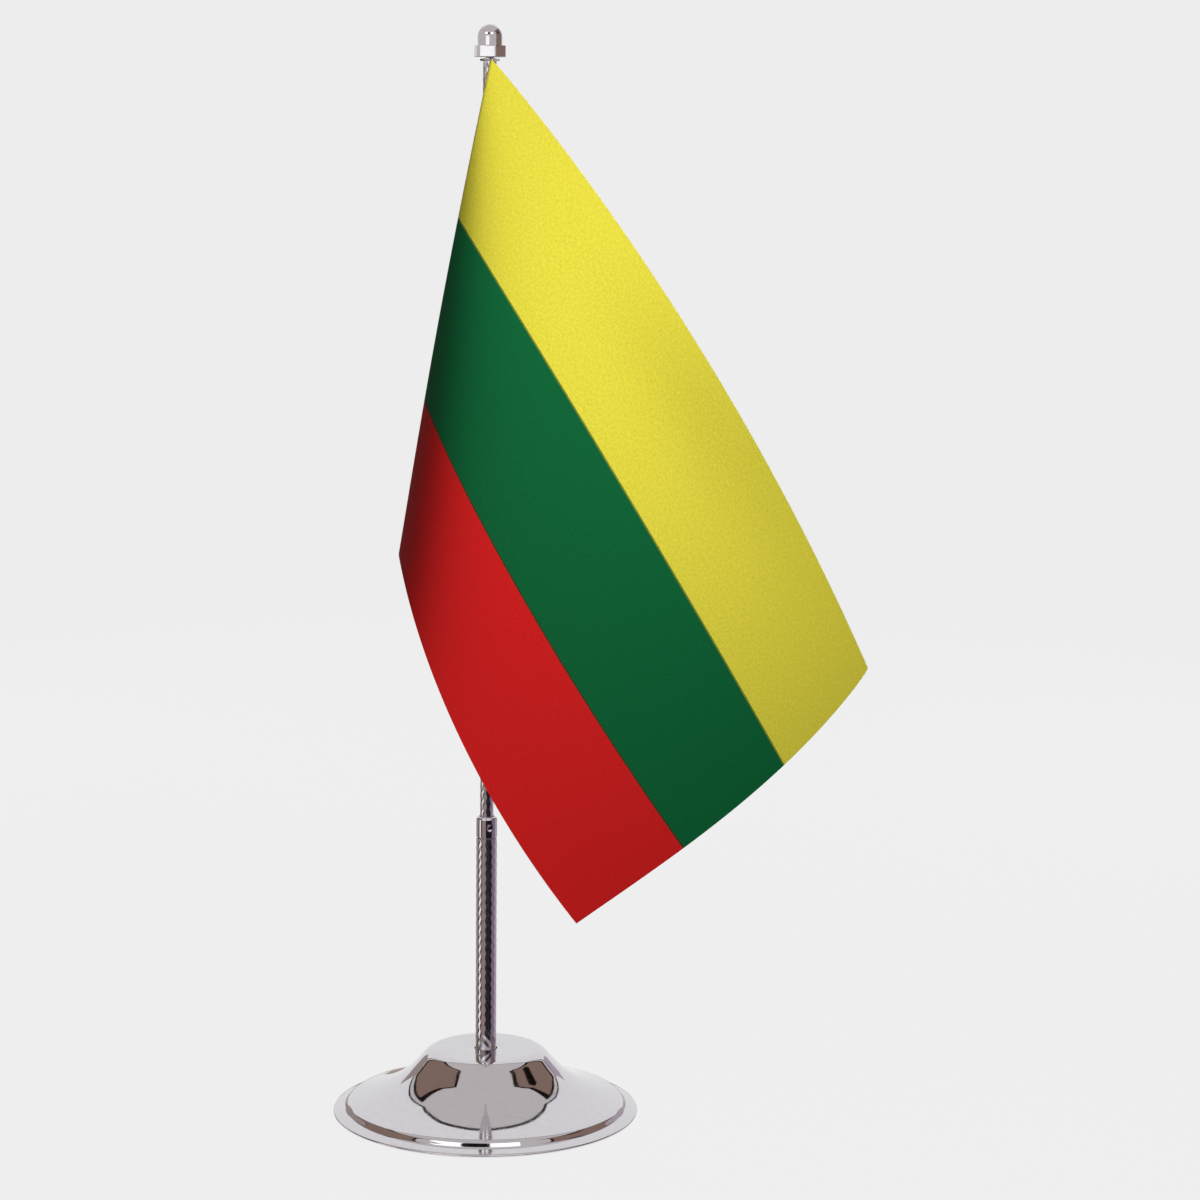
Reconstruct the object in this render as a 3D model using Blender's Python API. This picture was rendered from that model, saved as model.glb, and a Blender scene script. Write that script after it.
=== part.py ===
"""Desk flag stand: a telescopic chromed pole on a weighted bell base, with a table flag.

Units are metres and +Z is up. The origin is the centre of the felt's underside, where the
stand rests on a desk, and the pole's axis is the Z axis. The flag hangs in front of the
pole, on the -Y side, from a cord loop around the pole's neck.
"""

import math

import bmesh
import bpy
from mathutils import Matrix, Vector

MM = 0.001
GAP = 0.3 * MM
FULL_TURN = math.tau

# Overall sizes
TOTAL_HEIGHT = 420.0 * MM
BASE_RADIUS = 59.5 * MM
PLATEAU_TOP = 25.9 * MM

# Base: pressed shell, iron weight and felt
SHELL_WALL = 0.8 * MM
WEIGHT_INSET = SHELL_WALL + 0.5 * MM
PAD_RADIUS = 55.5 * MM
PAD_THICKNESS = 1.3 * MM
WEIGHT_BOTTOM = PAD_THICKNESS + GAP
WEIGHT_RIM_RADIUS = 54.0 * MM
WEIGHT_RIM_TOP = 2.4 * MM
SCREW_RECESS_RADIUS = 5.8 * MM
SCREW_RECESS_TOP = 6.4 * MM
TUBE_SEAT = 8.7 * MM

# Pole: two tubes, their collar, and the friction shoe between them
LOWER_RADIUS = 4.1 * MM
LOWER_WALL = 0.45 * MM
LOWER_BORE = LOWER_RADIUS - LOWER_WALL
LOWER_BOTTOM = TUBE_SEAT + GAP
COLLAR_BOTTOM = 110.1 * MM
COLLAR_TOP = 118.4 * MM
COLLAR_SPIGOT = 9.0 * MM
LOWER_TOP = COLLAR_BOTTOM - GAP
UPPER_RADIUS = 2.65 * MM
UPPER_WALL = 0.45 * MM
UPPER_BORE = UPPER_RADIUS - UPPER_WALL
HEX_BOTTOM = 407.7 * MM
UPPER_TOP = HEX_BOTTOM - GAP
BEAD_RADIUS = 3.2 * MM
BEAD_HALF_HEIGHT = 0.6 * MM
SHOE_LENGTH = 14.0 * MM
SHOE_SLOT = math.radians(24.0)
RING_LENGTH = 2.0 * MM
TUBE_END_LIP = 1.0 * MM

# Foot plug, screw and washers
PLUG_LENGTH = 20.0 * MM
PLUG_HEAD_CLEARANCE = 0.6 * MM
SCREW_RADIUS = 2.0 * MM
SCREW_HEAD_RADIUS = 4.0 * MM
SCREW_HEAD_HEIGHT = 1.8 * MM
SCREW_LENGTH = 18.0 * MM
WASHER_RADIUS = 4.6 * MM
WASHER_THICKNESS = 0.6 * MM
LOCK_WASHER_RADIUS = 3.9 * MM
LOCK_WASHER_SLOT = math.radians(16.0)
CROSS_LENGTH = 3.6 * MM
CROSS_WIDTH = 0.7 * MM
CROSS_DEPTH = 0.9 * MM

# Finial: a domed cap nut on a stud
HEX_HEIGHT = 4.5 * MM
HEX_ACROSS_FLATS = 10.6 * MM
HEX_ACROSS_CORNERS = HEX_ACROSS_FLATS / math.cos(math.pi / 6)
HEX_CHAMFER = 0.5 * MM
HEX_TURN = math.radians(22.0)
DOME_RADIUS = 4.7 * MM
STUD_RADIUS = 1.6 * MM
STUD_ABOVE = 5.0 * MM
STUD_BELOW = 9.0 * MM
STUD_BODY_RADIUS = UPPER_BORE - GAP

# Flag: cloth of one hoist by one fly, folded back at the hoist along its left side
LOOP_CORD_RADIUS = 0.4 * MM
LOOP_RADIUS = UPPER_RADIUS + GAP + LOOP_CORD_RADIUS
LOOP_HEIGHT = HEX_BOTTOM - 0.9 * MM
CLOTH_THICKNESS = 0.8 * MM
TOP_CORNER = Vector((0.4, 0.0, 406.8)) * MM
FOLD_CORNER = Vector((-33.3, 0.0, 222.2)) * MM
FLY_TOP = Vector((148.5, 0.0, 173.1)) * MM
FLY_BOTTOM = Vector((35.2, 0.0, 83.7)) * MM
HOIST_TOP = Vector((2.4, 0.0, 402.5)) * MM
HOIST_BOTTOM = Vector((68.0, 0.0, 286.0)) * MM
FOLD_SPACING = 0.019
FOLD_BOW = 1.3 * MM
FLY_EDGE_BOW = 7.5 * MM
FLY_BOW_SKEW = 0.767
LINE_BOW_TOP = 9.8 * MM
LINE_BOW_BOTTOM = -17.7 * MM
LINE_BOW_FADE = 0.918
LINE_BOW_SKEW = 0.953
FOLD_RADIUS_TOP = 0.8 * MM
FOLD_RADIUS_GROWTH = 2.0 * MM
FOLD_RADIUS_POWER = 6.0
FOLD_HELIX = 0.9
FLAP_DEPTH_TOP = -5.1 * MM
FLAP_DEPTH_BOTTOM = -7.2 * MM
BULGE_SLOPE = 2.4
BULGE_SLOPE_REACH = 69.0 * MM
BULGE_WIDTH = 15.2 * MM
BULGE_WIDTH_REACH = 73.0 * MM
FLY_RETREAT = 2.0
FRONT_SPREAD = 1.6
ROWS = 12
FLAP_COLUMNS = 3
ROLL_COLUMNS = 5
FRONT_COLUMNS = 13

# Facets around each kind of turned piece
BELL_FACETS = 48
TUBE_FACETS = 24
SMALL_FACETS = 20


def clear_scene():
    for item in list(bpy.data.objects):
        bpy.data.objects.remove(item, do_unlink=True)


def make_material(name, color, roughness, metallic):
    material = bpy.data.materials.new(name)
    material.use_nodes = True
    shader = material.node_tree.nodes["Principled BSDF"]
    shader.inputs["Base Color"].default_value = (*color, 1.0)
    shader.inputs["Roughness"].default_value = roughness
    shader.inputs["Metallic"].default_value = metallic
    material.diffuse_color = (*color, 1.0)
    return material


def chrome():
    return make_material("chrome", (0.74, 0.73, 0.74), 0.06, 1.0)


def cast_iron():
    return make_material("cast_iron", (0.09, 0.09, 0.09), 0.7, 1.0)


def felt():
    return make_material("felt", (0.02, 0.07, 0.04), 0.95, 0.0)


def zinc_steel():
    return make_material("zinc_steel", (0.6, 0.6, 0.62), 0.35, 1.0)


def brass():
    return make_material("brass", (0.75, 0.55, 0.25), 0.3, 1.0)


def cloth():
    return make_material("cloth", (0.01, 0.11, 0.03), 0.8, 0.0)


def cord():
    return make_material("cord", (0.75, 0.72, 0.6), 0.9, 0.0)


def add_object(name, bm, material):
    """Turn the faces outward, weld seams and link the mesh as a named object."""
    bmesh.ops.remove_doubles(bm, verts=bm.verts, dist=0.001 * MM)
    bmesh.ops.recalc_face_normals(bm, faces=bm.faces)
    mesh = bpy.data.meshes.new(name)
    bm.to_mesh(mesh)
    bm.free()
    mesh.materials.append(material)
    mesh.shade_smooth()
    mesh.set_sharp_from_angle(angle=math.radians(35.0))
    item = bpy.data.objects.new(name, mesh)
    bpy.context.scene.collection.objects.link(item)
    return item


def turned(name, outline, material, facets, sweep=FULL_TURN):
    """Turn a closed outline of (radius, height) points about Z, all round or part of the way."""
    bm = bmesh.new()
    corners = [bm.verts.new((radius, 0.0, height)) for radius, height in outline]
    if sweep < FULL_TURN:
        geometry = [bm.faces.new(corners)]
    else:
        pairs = zip(corners, corners[1:] + corners[:1])
        geometry = [bm.edges.new(pair) for pair in pairs if any(corner.co.x > 0 for corner in pair)]
    bmesh.ops.spin(
        bm,
        geom=corners + geometry,
        cent=(0.0, 0.0, 0.0),
        axis=(0.0, 0.0, 1.0),
        angle=sweep,
        steps=facets,
        use_merge=sweep == FULL_TURN,
    )
    return add_object(name, bm, material)


def ring_outline(inner, outer, bottom, top, chamfer=0.0):
    """The section of a plain ring, with its outer edges chamfered where asked."""
    if chamfer == 0.0:
        return [(inner, bottom), (outer, bottom), (outer, top), (inner, top)]
    return [
        (inner, bottom),
        (outer - chamfer, bottom),
        (outer, bottom + chamfer),
        (outer, top - chamfer),
        (outer - chamfer, top),
        (inner, top),
    ]


def hide_cutter(cutter):
    cutter.hide_render = True
    cutter.display_type = "WIRE"


def cut(target, cutter, operation):
    modifier = target.modifiers.new(cutter.name, "BOOLEAN")
    modifier.operation = operation
    modifier.solver = "EXACT"
    modifier.object = cutter
    hide_cutter(cutter)


def bezier(start, pull, end, steps):
    """Points along a quadratic curve from start to end, without its first point."""
    points = []
    for step in range(1, steps + 1):
        t = step / steps
        weights = ((1 - t) ** 2, 2 * t * (1 - t), t ** 2)
        radius = sum(weight * point[0] for weight, point in zip(weights, (start, pull, end)))
        height = sum(weight * point[1] for weight, point in zip(weights, (start, pull, end)))
        points.append((radius, height))
    return points


def bell_curve():
    """The bell's outer section from the brim up to the plateau's edge: sweep, flank, round."""
    sweep_start = (52.8 * MM, 4.9 * MM)
    flank_foot = (29.6 * MM, 17.5 * MM)
    flank_head = (24.6 * MM, 23.1 * MM)
    plateau_edge = (19.0 * MM, PLATEAU_TOP)
    points = [sweep_start]
    points += bezier(sweep_start, (37.0 * MM, 10.2 * MM), flank_foot, 6)
    points += [flank_head]
    points += bezier(flank_head, (22.3 * MM, PLATEAU_TOP), plateau_edge, 4)
    return points


def offset_inward(points, distance):
    """Move each point of an open outline to its lower, inner side, square to the outline."""
    moved = []
    for index, point in enumerate(points):
        before = points[max(index - 1, 0)]
        after = points[min(index + 1, len(points) - 1)]
        along = Vector((after[0] - before[0], after[1] - before[1])).normalized()
        moved.append((point[0] - along.y * distance, point[1] + along.x * distance))
    return moved


def make_base_shell():
    """Chromed pressed steel: a brim with a crease, a concave bell and a flat plateau."""
    crease = [(53.6 * MM, 4.2 * MM)]
    lip = [(58.3 * MM, 2.3 * MM), (59.2 * MM, 1.9 * MM), (BASE_RADIUS, 1.4 * MM), (59.2 * MM, 0.9 * MM)]
    outer = lip[::-1] + crease + bell_curve()
    hole = LOWER_RADIUS + GAP
    inner = offset_inward(bell_curve(), SHELL_WALL)
    inner_crease = [(53.0 * MM, 3.4 * MM)]
    inner_lip = [(57.6 * MM, 1.6 * MM), (58.6 * MM, 0.9 * MM)]
    plateau = [(hole, PLATEAU_TOP), (hole, PLATEAU_TOP - SHELL_WALL)]
    outline = outer + plateau + inner[::-1] + inner_crease + inner_lip
    return turned("base_shell", outline, chrome(), BELL_FACETS)


def make_base_weight():
    """The iron casting that fills the bell, bored for the tube above and the screw below."""
    tube_bore = LOWER_RADIUS + GAP
    screw_bore = SCREW_RADIUS + GAP
    inside = offset_inward(bell_curve(), WEIGHT_INSET)
    outline = [(WEIGHT_RIM_RADIUS, WEIGHT_BOTTOM), (WEIGHT_RIM_RADIUS, WEIGHT_RIM_TOP)]
    outline += inside
    outline += [
        (tube_bore, PLATEAU_TOP - WEIGHT_INSET),
        (tube_bore, TUBE_SEAT),
        (screw_bore, TUBE_SEAT),
        (screw_bore, SCREW_RECESS_TOP),
        (SCREW_RECESS_RADIUS, SCREW_RECESS_TOP),
        (SCREW_RECESS_RADIUS, WEIGHT_BOTTOM),
    ]
    return turned("base_weight", outline, cast_iron(), BELL_FACETS)


def make_base_pad():
    outline = [(0.0, 0.0), (PAD_RADIUS, 0.0), (PAD_RADIUS, PAD_THICKNESS), (0.0, PAD_THICKNESS)]
    return turned("base_pad", outline, felt(), BELL_FACETS)


def washer_top():
    return SCREW_RECESS_TOP - GAP


def lock_washer_top():
    return washer_top() - WASHER_THICKNESS - GAP


def screw_head_top():
    return lock_washer_top() - WASHER_THICKNESS - GAP


def make_screw_washer():
    top = washer_top()
    outline = ring_outline(SCREW_RADIUS + GAP, WASHER_RADIUS, top - WASHER_THICKNESS, top)
    return turned("screw_washer", outline, zinc_steel(), SMALL_FACETS)


def make_lock_washer():
    """A spring washer, split at one place."""
    top = lock_washer_top()
    outline = ring_outline(SCREW_RADIUS + GAP, LOCK_WASHER_RADIUS, top - WASHER_THICKNESS, top)
    sweep = FULL_TURN - LOCK_WASHER_SLOT
    return turned("lock_washer", outline, zinc_steel(), SMALL_FACETS, sweep)


def make_base_screw():
    """A pan-head screw driven upward into the foot plug, with a cross recess."""
    top = screw_head_top()
    bottom = top - SCREW_HEAD_HEIGHT
    tip = top + SCREW_LENGTH
    tip_chamfer = 0.5 * MM
    outline = [(0.0, bottom), (0.7 * SCREW_HEAD_RADIUS, bottom)]
    head_corner = (SCREW_HEAD_RADIUS, bottom)
    outline += bezier(outline[-1], head_corner, (SCREW_HEAD_RADIUS, bottom + 0.6 * SCREW_HEAD_HEIGHT), 3)
    outline += [
        (SCREW_HEAD_RADIUS, top),
        (SCREW_RADIUS, top),
        (SCREW_RADIUS, tip - tip_chamfer),
        (SCREW_RADIUS - tip_chamfer, tip),
        (0.0, tip),
    ]
    screw = turned("base_screw", outline, zinc_steel(), SMALL_FACETS)
    for name, size_x, size_y in (
        ("cross_recess_x", CROSS_LENGTH, CROSS_WIDTH),
        ("cross_recess_y", CROSS_WIDTH, CROSS_LENGTH),
    ):
        bm = bmesh.new()
        bmesh.ops.create_cube(bm, size=1.0)
        bmesh.ops.scale(bm, verts=bm.verts, vec=(size_x, size_y, 2.0 * CROSS_DEPTH))
        bmesh.ops.translate(bm, verts=bm.verts, vec=(0.0, 0.0, bottom))
        cut(screw, add_object(name, bm, zinc_steel()), "DIFFERENCE")
    return screw


def make_foot_plug():
    """The threaded steel plug pressed into the lower tube's foot."""
    outer = LOWER_BORE - GAP
    bore = SCREW_RADIUS + GAP
    bottom = LOWER_BOTTOM
    top = bottom + PLUG_LENGTH
    bore_top = screw_head_top() + SCREW_LENGTH + PLUG_HEAD_CLEARANCE
    outline = [(bore, bottom), (outer, bottom), (outer, top), (0.0, top), (0.0, bore_top), (bore, bore_top)]
    return turned("foot_plug", outline, zinc_steel(), SMALL_FACETS)


def make_lower_tube():
    outline = ring_outline(LOWER_BORE, LOWER_RADIUS, LOWER_BOTTOM, LOWER_TOP)
    return turned("lower_tube", outline, chrome(), TUBE_FACETS)


def make_collar():
    """The guide collar: its ring caps the lower tube, its spigot stands inside it."""
    spigot = LOWER_BORE - GAP
    bore = UPPER_RADIUS + GAP
    edge = 0.4 * MM
    outline = [
        (bore, COLLAR_BOTTOM - COLLAR_SPIGOT),
        (spigot, COLLAR_BOTTOM - COLLAR_SPIGOT),
        (spigot, COLLAR_BOTTOM),
        (LOWER_RADIUS, COLLAR_BOTTOM),
        (LOWER_RADIUS, COLLAR_TOP - edge),
        (LOWER_RADIUS - edge, COLLAR_TOP),
        (bore, COLLAR_TOP),
    ]
    collar = turned("collar", outline, chrome(), TUBE_FACETS)
    bm = bmesh.new()
    bmesh.ops.create_icosphere(bm, subdivisions=2, radius=1.4 * MM)
    dimple_place = (0.35 * LOWER_RADIUS, -1.17 * LOWER_RADIUS, (COLLAR_BOTTOM + COLLAR_TOP) / 2)
    bmesh.ops.translate(bm, verts=bm.verts, vec=dimple_place)
    cut(collar, add_object("crimp_punch", bm, chrome()), "DIFFERENCE")
    return collar


def bead_centre():
    return COLLAR_BOTTOM - COLLAR_SPIGOT - GAP - BEAD_HALF_HEIGHT


def shoe_top():
    return bead_centre() - BEAD_HALF_HEIGHT - GAP


def end_ring_top():
    return shoe_top() - SHOE_LENGTH - GAP


def upper_bottom():
    return end_ring_top() - RING_LENGTH - TUBE_END_LIP


def make_upper_tube():
    """The sliding tube, with the rolled bead that stops it in the collar."""
    bead = bead_centre()
    outline = [
        (UPPER_BORE, upper_bottom()),
        (UPPER_RADIUS, upper_bottom()),
        (UPPER_RADIUS, bead - BEAD_HALF_HEIGHT),
        (BEAD_RADIUS, bead),
        (UPPER_RADIUS, bead + BEAD_HALF_HEIGHT),
        (UPPER_RADIUS, UPPER_TOP),
        (UPPER_BORE, UPPER_TOP),
    ]
    return turned("upper_tube", outline, chrome(), TUBE_FACETS)


def make_slide_shoe():
    """The split brass sleeve whose spring grips the lower tube and lets the pole turn."""
    bottom = shoe_top() - SHOE_LENGTH
    outline = ring_outline(UPPER_RADIUS + GAP, LOWER_BORE - GAP, bottom, shoe_top())
    return turned("slide_shoe", outline, brass(), SMALL_FACETS, FULL_TURN - SHOE_SLOT)


def make_end_ring():
    """The ring pressed on the sliding tube's foot, which keeps the shoe on it."""
    bottom = end_ring_top() - RING_LENGTH
    outline = ring_outline(UPPER_RADIUS + GAP, LOWER_BORE - GAP, bottom, end_ring_top(), 0.15 * MM)
    return turned("end_ring", outline, brass(), SMALL_FACETS)


def make_finial_stud():
    """The stud pressed into the pole's head, with a thinner threaded end for the finial."""
    top = HEX_BOTTOM + STUD_ABOVE
    outline = [
        (0.0, UPPER_TOP - STUD_BELOW),
        (STUD_BODY_RADIUS, UPPER_TOP - STUD_BELOW),
        (STUD_BODY_RADIUS, UPPER_TOP),
        (STUD_RADIUS, UPPER_TOP),
        (STUD_RADIUS, top - 0.3 * MM),
        (STUD_RADIUS - 0.3 * MM, top),
        (0.0, top),
    ]
    return turned("finial_stud", outline, zinc_steel(), SMALL_FACETS)


def make_finial():
    """The domed cap nut: a turned body, trimmed to a hexagon below its dome."""
    bore = STUD_RADIUS + GAP
    bore_top = HEX_BOTTOM + STUD_ABOVE + GAP
    shoulder = HEX_BOTTOM + HEX_HEIGHT
    corner = HEX_ACROSS_CORNERS / 2
    dome_foot = TOTAL_HEIGHT - DOME_RADIUS
    outline = [
        (0.0, bore_top),
        (bore, bore_top),
        (bore, HEX_BOTTOM),
        (corner - HEX_CHAMFER, HEX_BOTTOM),
        (corner, HEX_BOTTOM + HEX_CHAMFER),
        (corner, shoulder - HEX_CHAMFER),
        (corner - HEX_CHAMFER, shoulder),
        (DOME_RADIUS, shoulder),
    ]
    dome_steps = 6
    for step in range(dome_steps):
        angle = step / dome_steps * math.pi / 2
        outline.append((DOME_RADIUS * math.cos(angle), dome_foot + DOME_RADIUS * math.sin(angle)))
    outline.append((0.0, TOTAL_HEIGHT))
    finial = turned("finial", outline, chrome(), TUBE_FACETS)
    bm = bmesh.new()
    prism_height = 3.0 * HEX_HEIGHT + 2.0 * DOME_RADIUS
    bmesh.ops.create_cone(
        bm,
        cap_ends=True,
        segments=6,
        radius1=corner,
        radius2=corner,
        depth=prism_height,
    )
    bmesh.ops.rotate(bm, verts=bm.verts, cent=(0, 0, 0), matrix=Matrix.Rotation(HEX_TURN, 3, "Z"))
    bmesh.ops.translate(bm, verts=bm.verts, vec=(0.0, 0.0, HEX_BOTTOM + HEX_HEIGHT))
    cut(finial, add_object("hexagon", bm, chrome()), "INTERSECT")
    return finial


def make_hanging_loop():
    """The thin cord loop around the pole's neck, just under the finial."""
    section = []
    sides = 8
    for side in range(sides):
        angle = side / sides * FULL_TURN
        radius = LOOP_RADIUS + LOOP_CORD_RADIUS * math.cos(angle)
        section.append((radius, LOOP_HEIGHT + LOOP_CORD_RADIUS * math.sin(angle)))
    return turned("hanging_loop", section, cord(), TUBE_FACETS)


def fold_radius(v):
    return FOLD_RADIUS_TOP + FOLD_RADIUS_GROWTH * v ** FOLD_RADIUS_POWER


def fold_line(v):
    """The fold that makes the flag's left side, at share v of the hoist."""
    share = v - FOLD_SPACING * math.sin(math.tau * v)
    edge = FOLD_CORNER - TOP_CORNER
    outward = Vector((edge.z, 0.0, -edge.x)).normalized()
    return TOP_CORNER.lerp(FOLD_CORNER, share) + outward * FOLD_BOW * math.sin(math.pi * share)


def fly_line(v):
    """The flag's free edge, which bows away from the pole."""
    edge = FLY_BOTTOM - FLY_TOP
    outward = Vector((-edge.z, 0.0, edge.x)).normalized()
    return FLY_TOP.lerp(FLY_BOTTOM, v) + outward * FLY_EDGE_BOW * math.sin(math.pi * v ** FLY_BOW_SKEW)


def bulge_slope(reach):
    """How steeply the front layer leaves the fold, at a distance from the top corner."""
    return BULGE_SLOPE * (1.0 - math.exp(-reach / BULGE_SLOPE_REACH))


def front_bulge(place, start):
    """How far the front layer stands forward: a swell along the fold, then a retreat to the fly."""
    down = (FOLD_CORNER - TOP_CORNER).normalized()
    across = Vector((-down.z, 0.0, down.x))
    reach = Vector((place.x - TOP_CORNER.x, 0.0, place.z - TOP_CORNER.z)).length
    aside = (place - start).dot(across)
    width = BULGE_WIDTH * (1.0 - math.exp(-reach / BULGE_WIDTH_REACH)) + 0.1 * MM
    swell = bulge_slope(reach) * width * (1.0 - math.exp(-aside / width))
    return swell - FLY_RETREAT * aside * aside


def flag_row(v):
    """One weft line from the hoist edge, round the fold and out to the fly."""
    radius = fold_radius(v)
    flap_depth = FLAP_DEPTH_TOP + (FLAP_DEPTH_BOTTOM - FLAP_DEPTH_TOP) * v
    centre_depth = flap_depth - radius
    down = (FOLD_CORNER - TOP_CORNER).normalized()
    across = Vector((-down.z, 0.0, down.x))
    fold = fold_line(v)
    roll_end = math.pi - math.atan(bulge_slope((fold - TOP_CORNER).length))
    roll = []
    for column in range(ROLL_COLUMNS + 1):
        angle = column / ROLL_COLUMNS * roll_end
        place = fold + across * radius * (1.0 - math.sin(angle))
        place += down * radius * (angle - math.pi / 2) * FOLD_HELIX * v
        place.y = centre_depth + radius * math.cos(angle)
        roll.append(place)
    hoist = HOIST_TOP.lerp(HOIST_BOTTOM, v)
    hoist.y = flap_depth
    row = [hoist.lerp(roll[0], column / FLAP_COLUMNS) for column in range(FLAP_COLUMNS)]
    row += roll
    start = roll[-1]
    fly = fly_line(v)
    fly.y = start.y
    chord = fly - start
    upward = Vector((-chord.z, 0.0, chord.x)).normalized()
    bow = LINE_BOW_BOTTOM + (LINE_BOW_TOP - LINE_BOW_BOTTOM) * math.exp(-LINE_BOW_FADE * v)
    for column in range(1, FRONT_COLUMNS + 1):
        share = (column / FRONT_COLUMNS) ** FRONT_SPREAD
        skewed = share ** LINE_BOW_SKEW
        place = start.lerp(fly, share) + upward * bow * 4.0 * skewed * (1.0 - skewed)
        place.y -= front_bulge(place, start)
        row.append(place)
    return row


def make_flag_cloth():
    """The flag as one sheet with the cloth's two faces a little way apart."""
    bm = bmesh.new()
    rows = []
    for index in range(ROWS + 1):
        rows.append([bm.verts.new(place) for place in flag_row(index / ROWS)])
    for upper, lower in zip(rows, rows[1:]):
        for column in range(len(upper) - 1):
            bm.faces.new((upper[column], lower[column], lower[column + 1], upper[column + 1]))
    item = add_object("flag_cloth", bm, cloth())
    solidify = item.modifiers.new("thickness", "SOLIDIFY")
    solidify.thickness = CLOTH_THICKNESS
    solidify.offset = 0.0
    return item


def make_group(name, members):
    """An empty on the pole's axis that carries the pieces of one moving body."""
    empty = bpy.data.objects.new(name, None)
    empty.empty_display_size = 10.0 * MM
    bpy.context.scene.collection.objects.link(empty)
    for member in members:
        member.parent = empty
    return empty


def build():
    clear_scene()
    base = [
        make_base_shell(),
        make_base_weight(),
        make_base_pad(),
        make_base_screw(),
        make_screw_washer(),
        make_lock_washer(),
        make_foot_plug(),
        make_lower_tube(),
        make_collar(),
    ]
    flag_group = make_group("flag_group", [make_hanging_loop(), make_flag_cloth()])
    finial_group = make_group("finial_group", [make_finial()])
    upper = [make_upper_tube(), make_end_ring(), make_finial_stud(), flag_group, finial_group]
    upper_group = make_group("upper_pole_group", upper)
    shoe_group = make_group("slide_shoe_group", [make_slide_shoe(), upper_group])
    make_group("stand", base + [shoe_group])


build()
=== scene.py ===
"""Looks of the desk flag stand: fluted chrome pole, pressed chrome bell and a hanging table flag.

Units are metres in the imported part's own frame: +Z is up along the pole, and the flag hangs
on the -Y side.
"""

import math

import bmesh
import bpy
from mathutils import Matrix, Vector


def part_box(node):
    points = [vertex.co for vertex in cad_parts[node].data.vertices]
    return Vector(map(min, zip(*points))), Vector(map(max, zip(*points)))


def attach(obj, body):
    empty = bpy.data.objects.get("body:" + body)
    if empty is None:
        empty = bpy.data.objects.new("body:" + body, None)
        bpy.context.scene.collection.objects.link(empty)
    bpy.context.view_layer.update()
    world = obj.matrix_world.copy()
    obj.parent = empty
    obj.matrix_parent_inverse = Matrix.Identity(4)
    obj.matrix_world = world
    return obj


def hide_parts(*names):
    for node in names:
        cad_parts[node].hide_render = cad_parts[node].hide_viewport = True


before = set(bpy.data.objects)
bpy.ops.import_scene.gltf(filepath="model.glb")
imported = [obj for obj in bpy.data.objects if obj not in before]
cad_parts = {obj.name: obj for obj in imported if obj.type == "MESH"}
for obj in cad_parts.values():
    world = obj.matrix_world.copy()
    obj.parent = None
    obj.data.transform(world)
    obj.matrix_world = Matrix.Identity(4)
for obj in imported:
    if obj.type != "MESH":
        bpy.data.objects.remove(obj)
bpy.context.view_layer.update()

MM = 0.001
FULL_TURN = math.tau

# Places that the frame gives
SHELL_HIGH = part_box("base_shell")[1]
LOWER_LOW, LOWER_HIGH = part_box("lower_tube")
COLLAR_LOW, COLLAR_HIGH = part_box("collar")
UPPER_LOW, UPPER_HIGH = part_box("upper_tube")
FINIAL_LOW, FINIAL_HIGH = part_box("finial")
LOOP_LOW, LOOP_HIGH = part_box("hanging_loop")
BASE_RADIUS = SHELL_HIGH.x
PLATEAU_TOP = SHELL_HIGH.z
LOWER_RADIUS = LOWER_HIGH.x
HEX_BOTTOM = FINIAL_LOW.z

# Clearance between pieces that fit in one another
GAP = 0.3 * MM

# Bell
SHELL_WALL = 0.8 * MM

# Pole
TUBE_WALL = 0.45 * MM
LOWER_BORE = LOWER_RADIUS - TUBE_WALL
UPPER_RADIUS = 2.65 * MM
UPPER_BORE = UPPER_RADIUS - TUBE_WALL
BEAD_RADIUS = 3.2 * MM
BEAD_CENTRE = 100.2 * MM
BEAD_HALF_HEIGHT = 0.6 * MM
COLLAR_RING_BOTTOM = LOWER_HIGH.z + GAP
FLUTES = 8
FLUTE_LEAD = 30.0 * MM
FLUTE_STEP = 0.75 * MM
POINTS_PER_FLUTE = 10
FLUTE_DEPTH = 0.06 * MM
FLUTE_ROUNDNESS = 0.7
PUNCH_ROUNDNESS = 0.6

# Finial
HEX_HEIGHT = 4.5 * MM
HEX_ACROSS_FLATS = 10.6 * MM
HEX_TURN = math.radians(22.0)
HEX_UPRIGHT_EASE = 0.5 * MM
HEX_RIM_EASE = 0.38 * MM
DOME_RADIUS = 4.7 * MM
DOME_SINK = 0.8 * MM

# Hanging loop: two strands that twist about each other
LOOP_THICKNESS = 0.8 * MM
STRAND_RADIUS = 0.21 * MM
STRAND_OFFSET = 0.19 * MM
STRAND_TWISTS = 14
STRAND_POINTS = 240

# Flag, in the shape that it hangs in
FLAG_FLY = 290.0 * MM
FLAG_HOIST = 150.0 * MM
TOP_CORNER = Vector((0.4, 0.0, 406.8)) * MM
FOLD_CORNER = Vector((-33.3, 0.0, 222.2)) * MM
FLY_TOP = Vector((148.5, 0.0, 173.1)) * MM
FLY_BOTTOM = Vector((35.2, 0.0, 83.7)) * MM
HOIST_TOP = Vector((2.4, 0.0, 402.5)) * MM
HOIST_BOTTOM = Vector((68.0, 0.0, 286.0)) * MM

# Outline: how the fold, the free edge and the stripe lines bow
FOLD_DOWN = (FOLD_CORNER - TOP_CORNER).normalized()
FOLD_ACROSS = Vector((-FOLD_DOWN.z, 0.0, FOLD_DOWN.x))
FOLD_SPACING = 0.019
FOLD_BOW = 1.3 * MM
FLY_EDGE_BOW = 7.5 * MM
FLY_BOW_SKEW = 0.767
LINE_BOW_TOP = 9.8 * MM
LINE_BOW_BOTTOM = -17.7 * MM
LINE_BOW_FADE = 0.918
LINE_BOW_SKEW = 0.953

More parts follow.
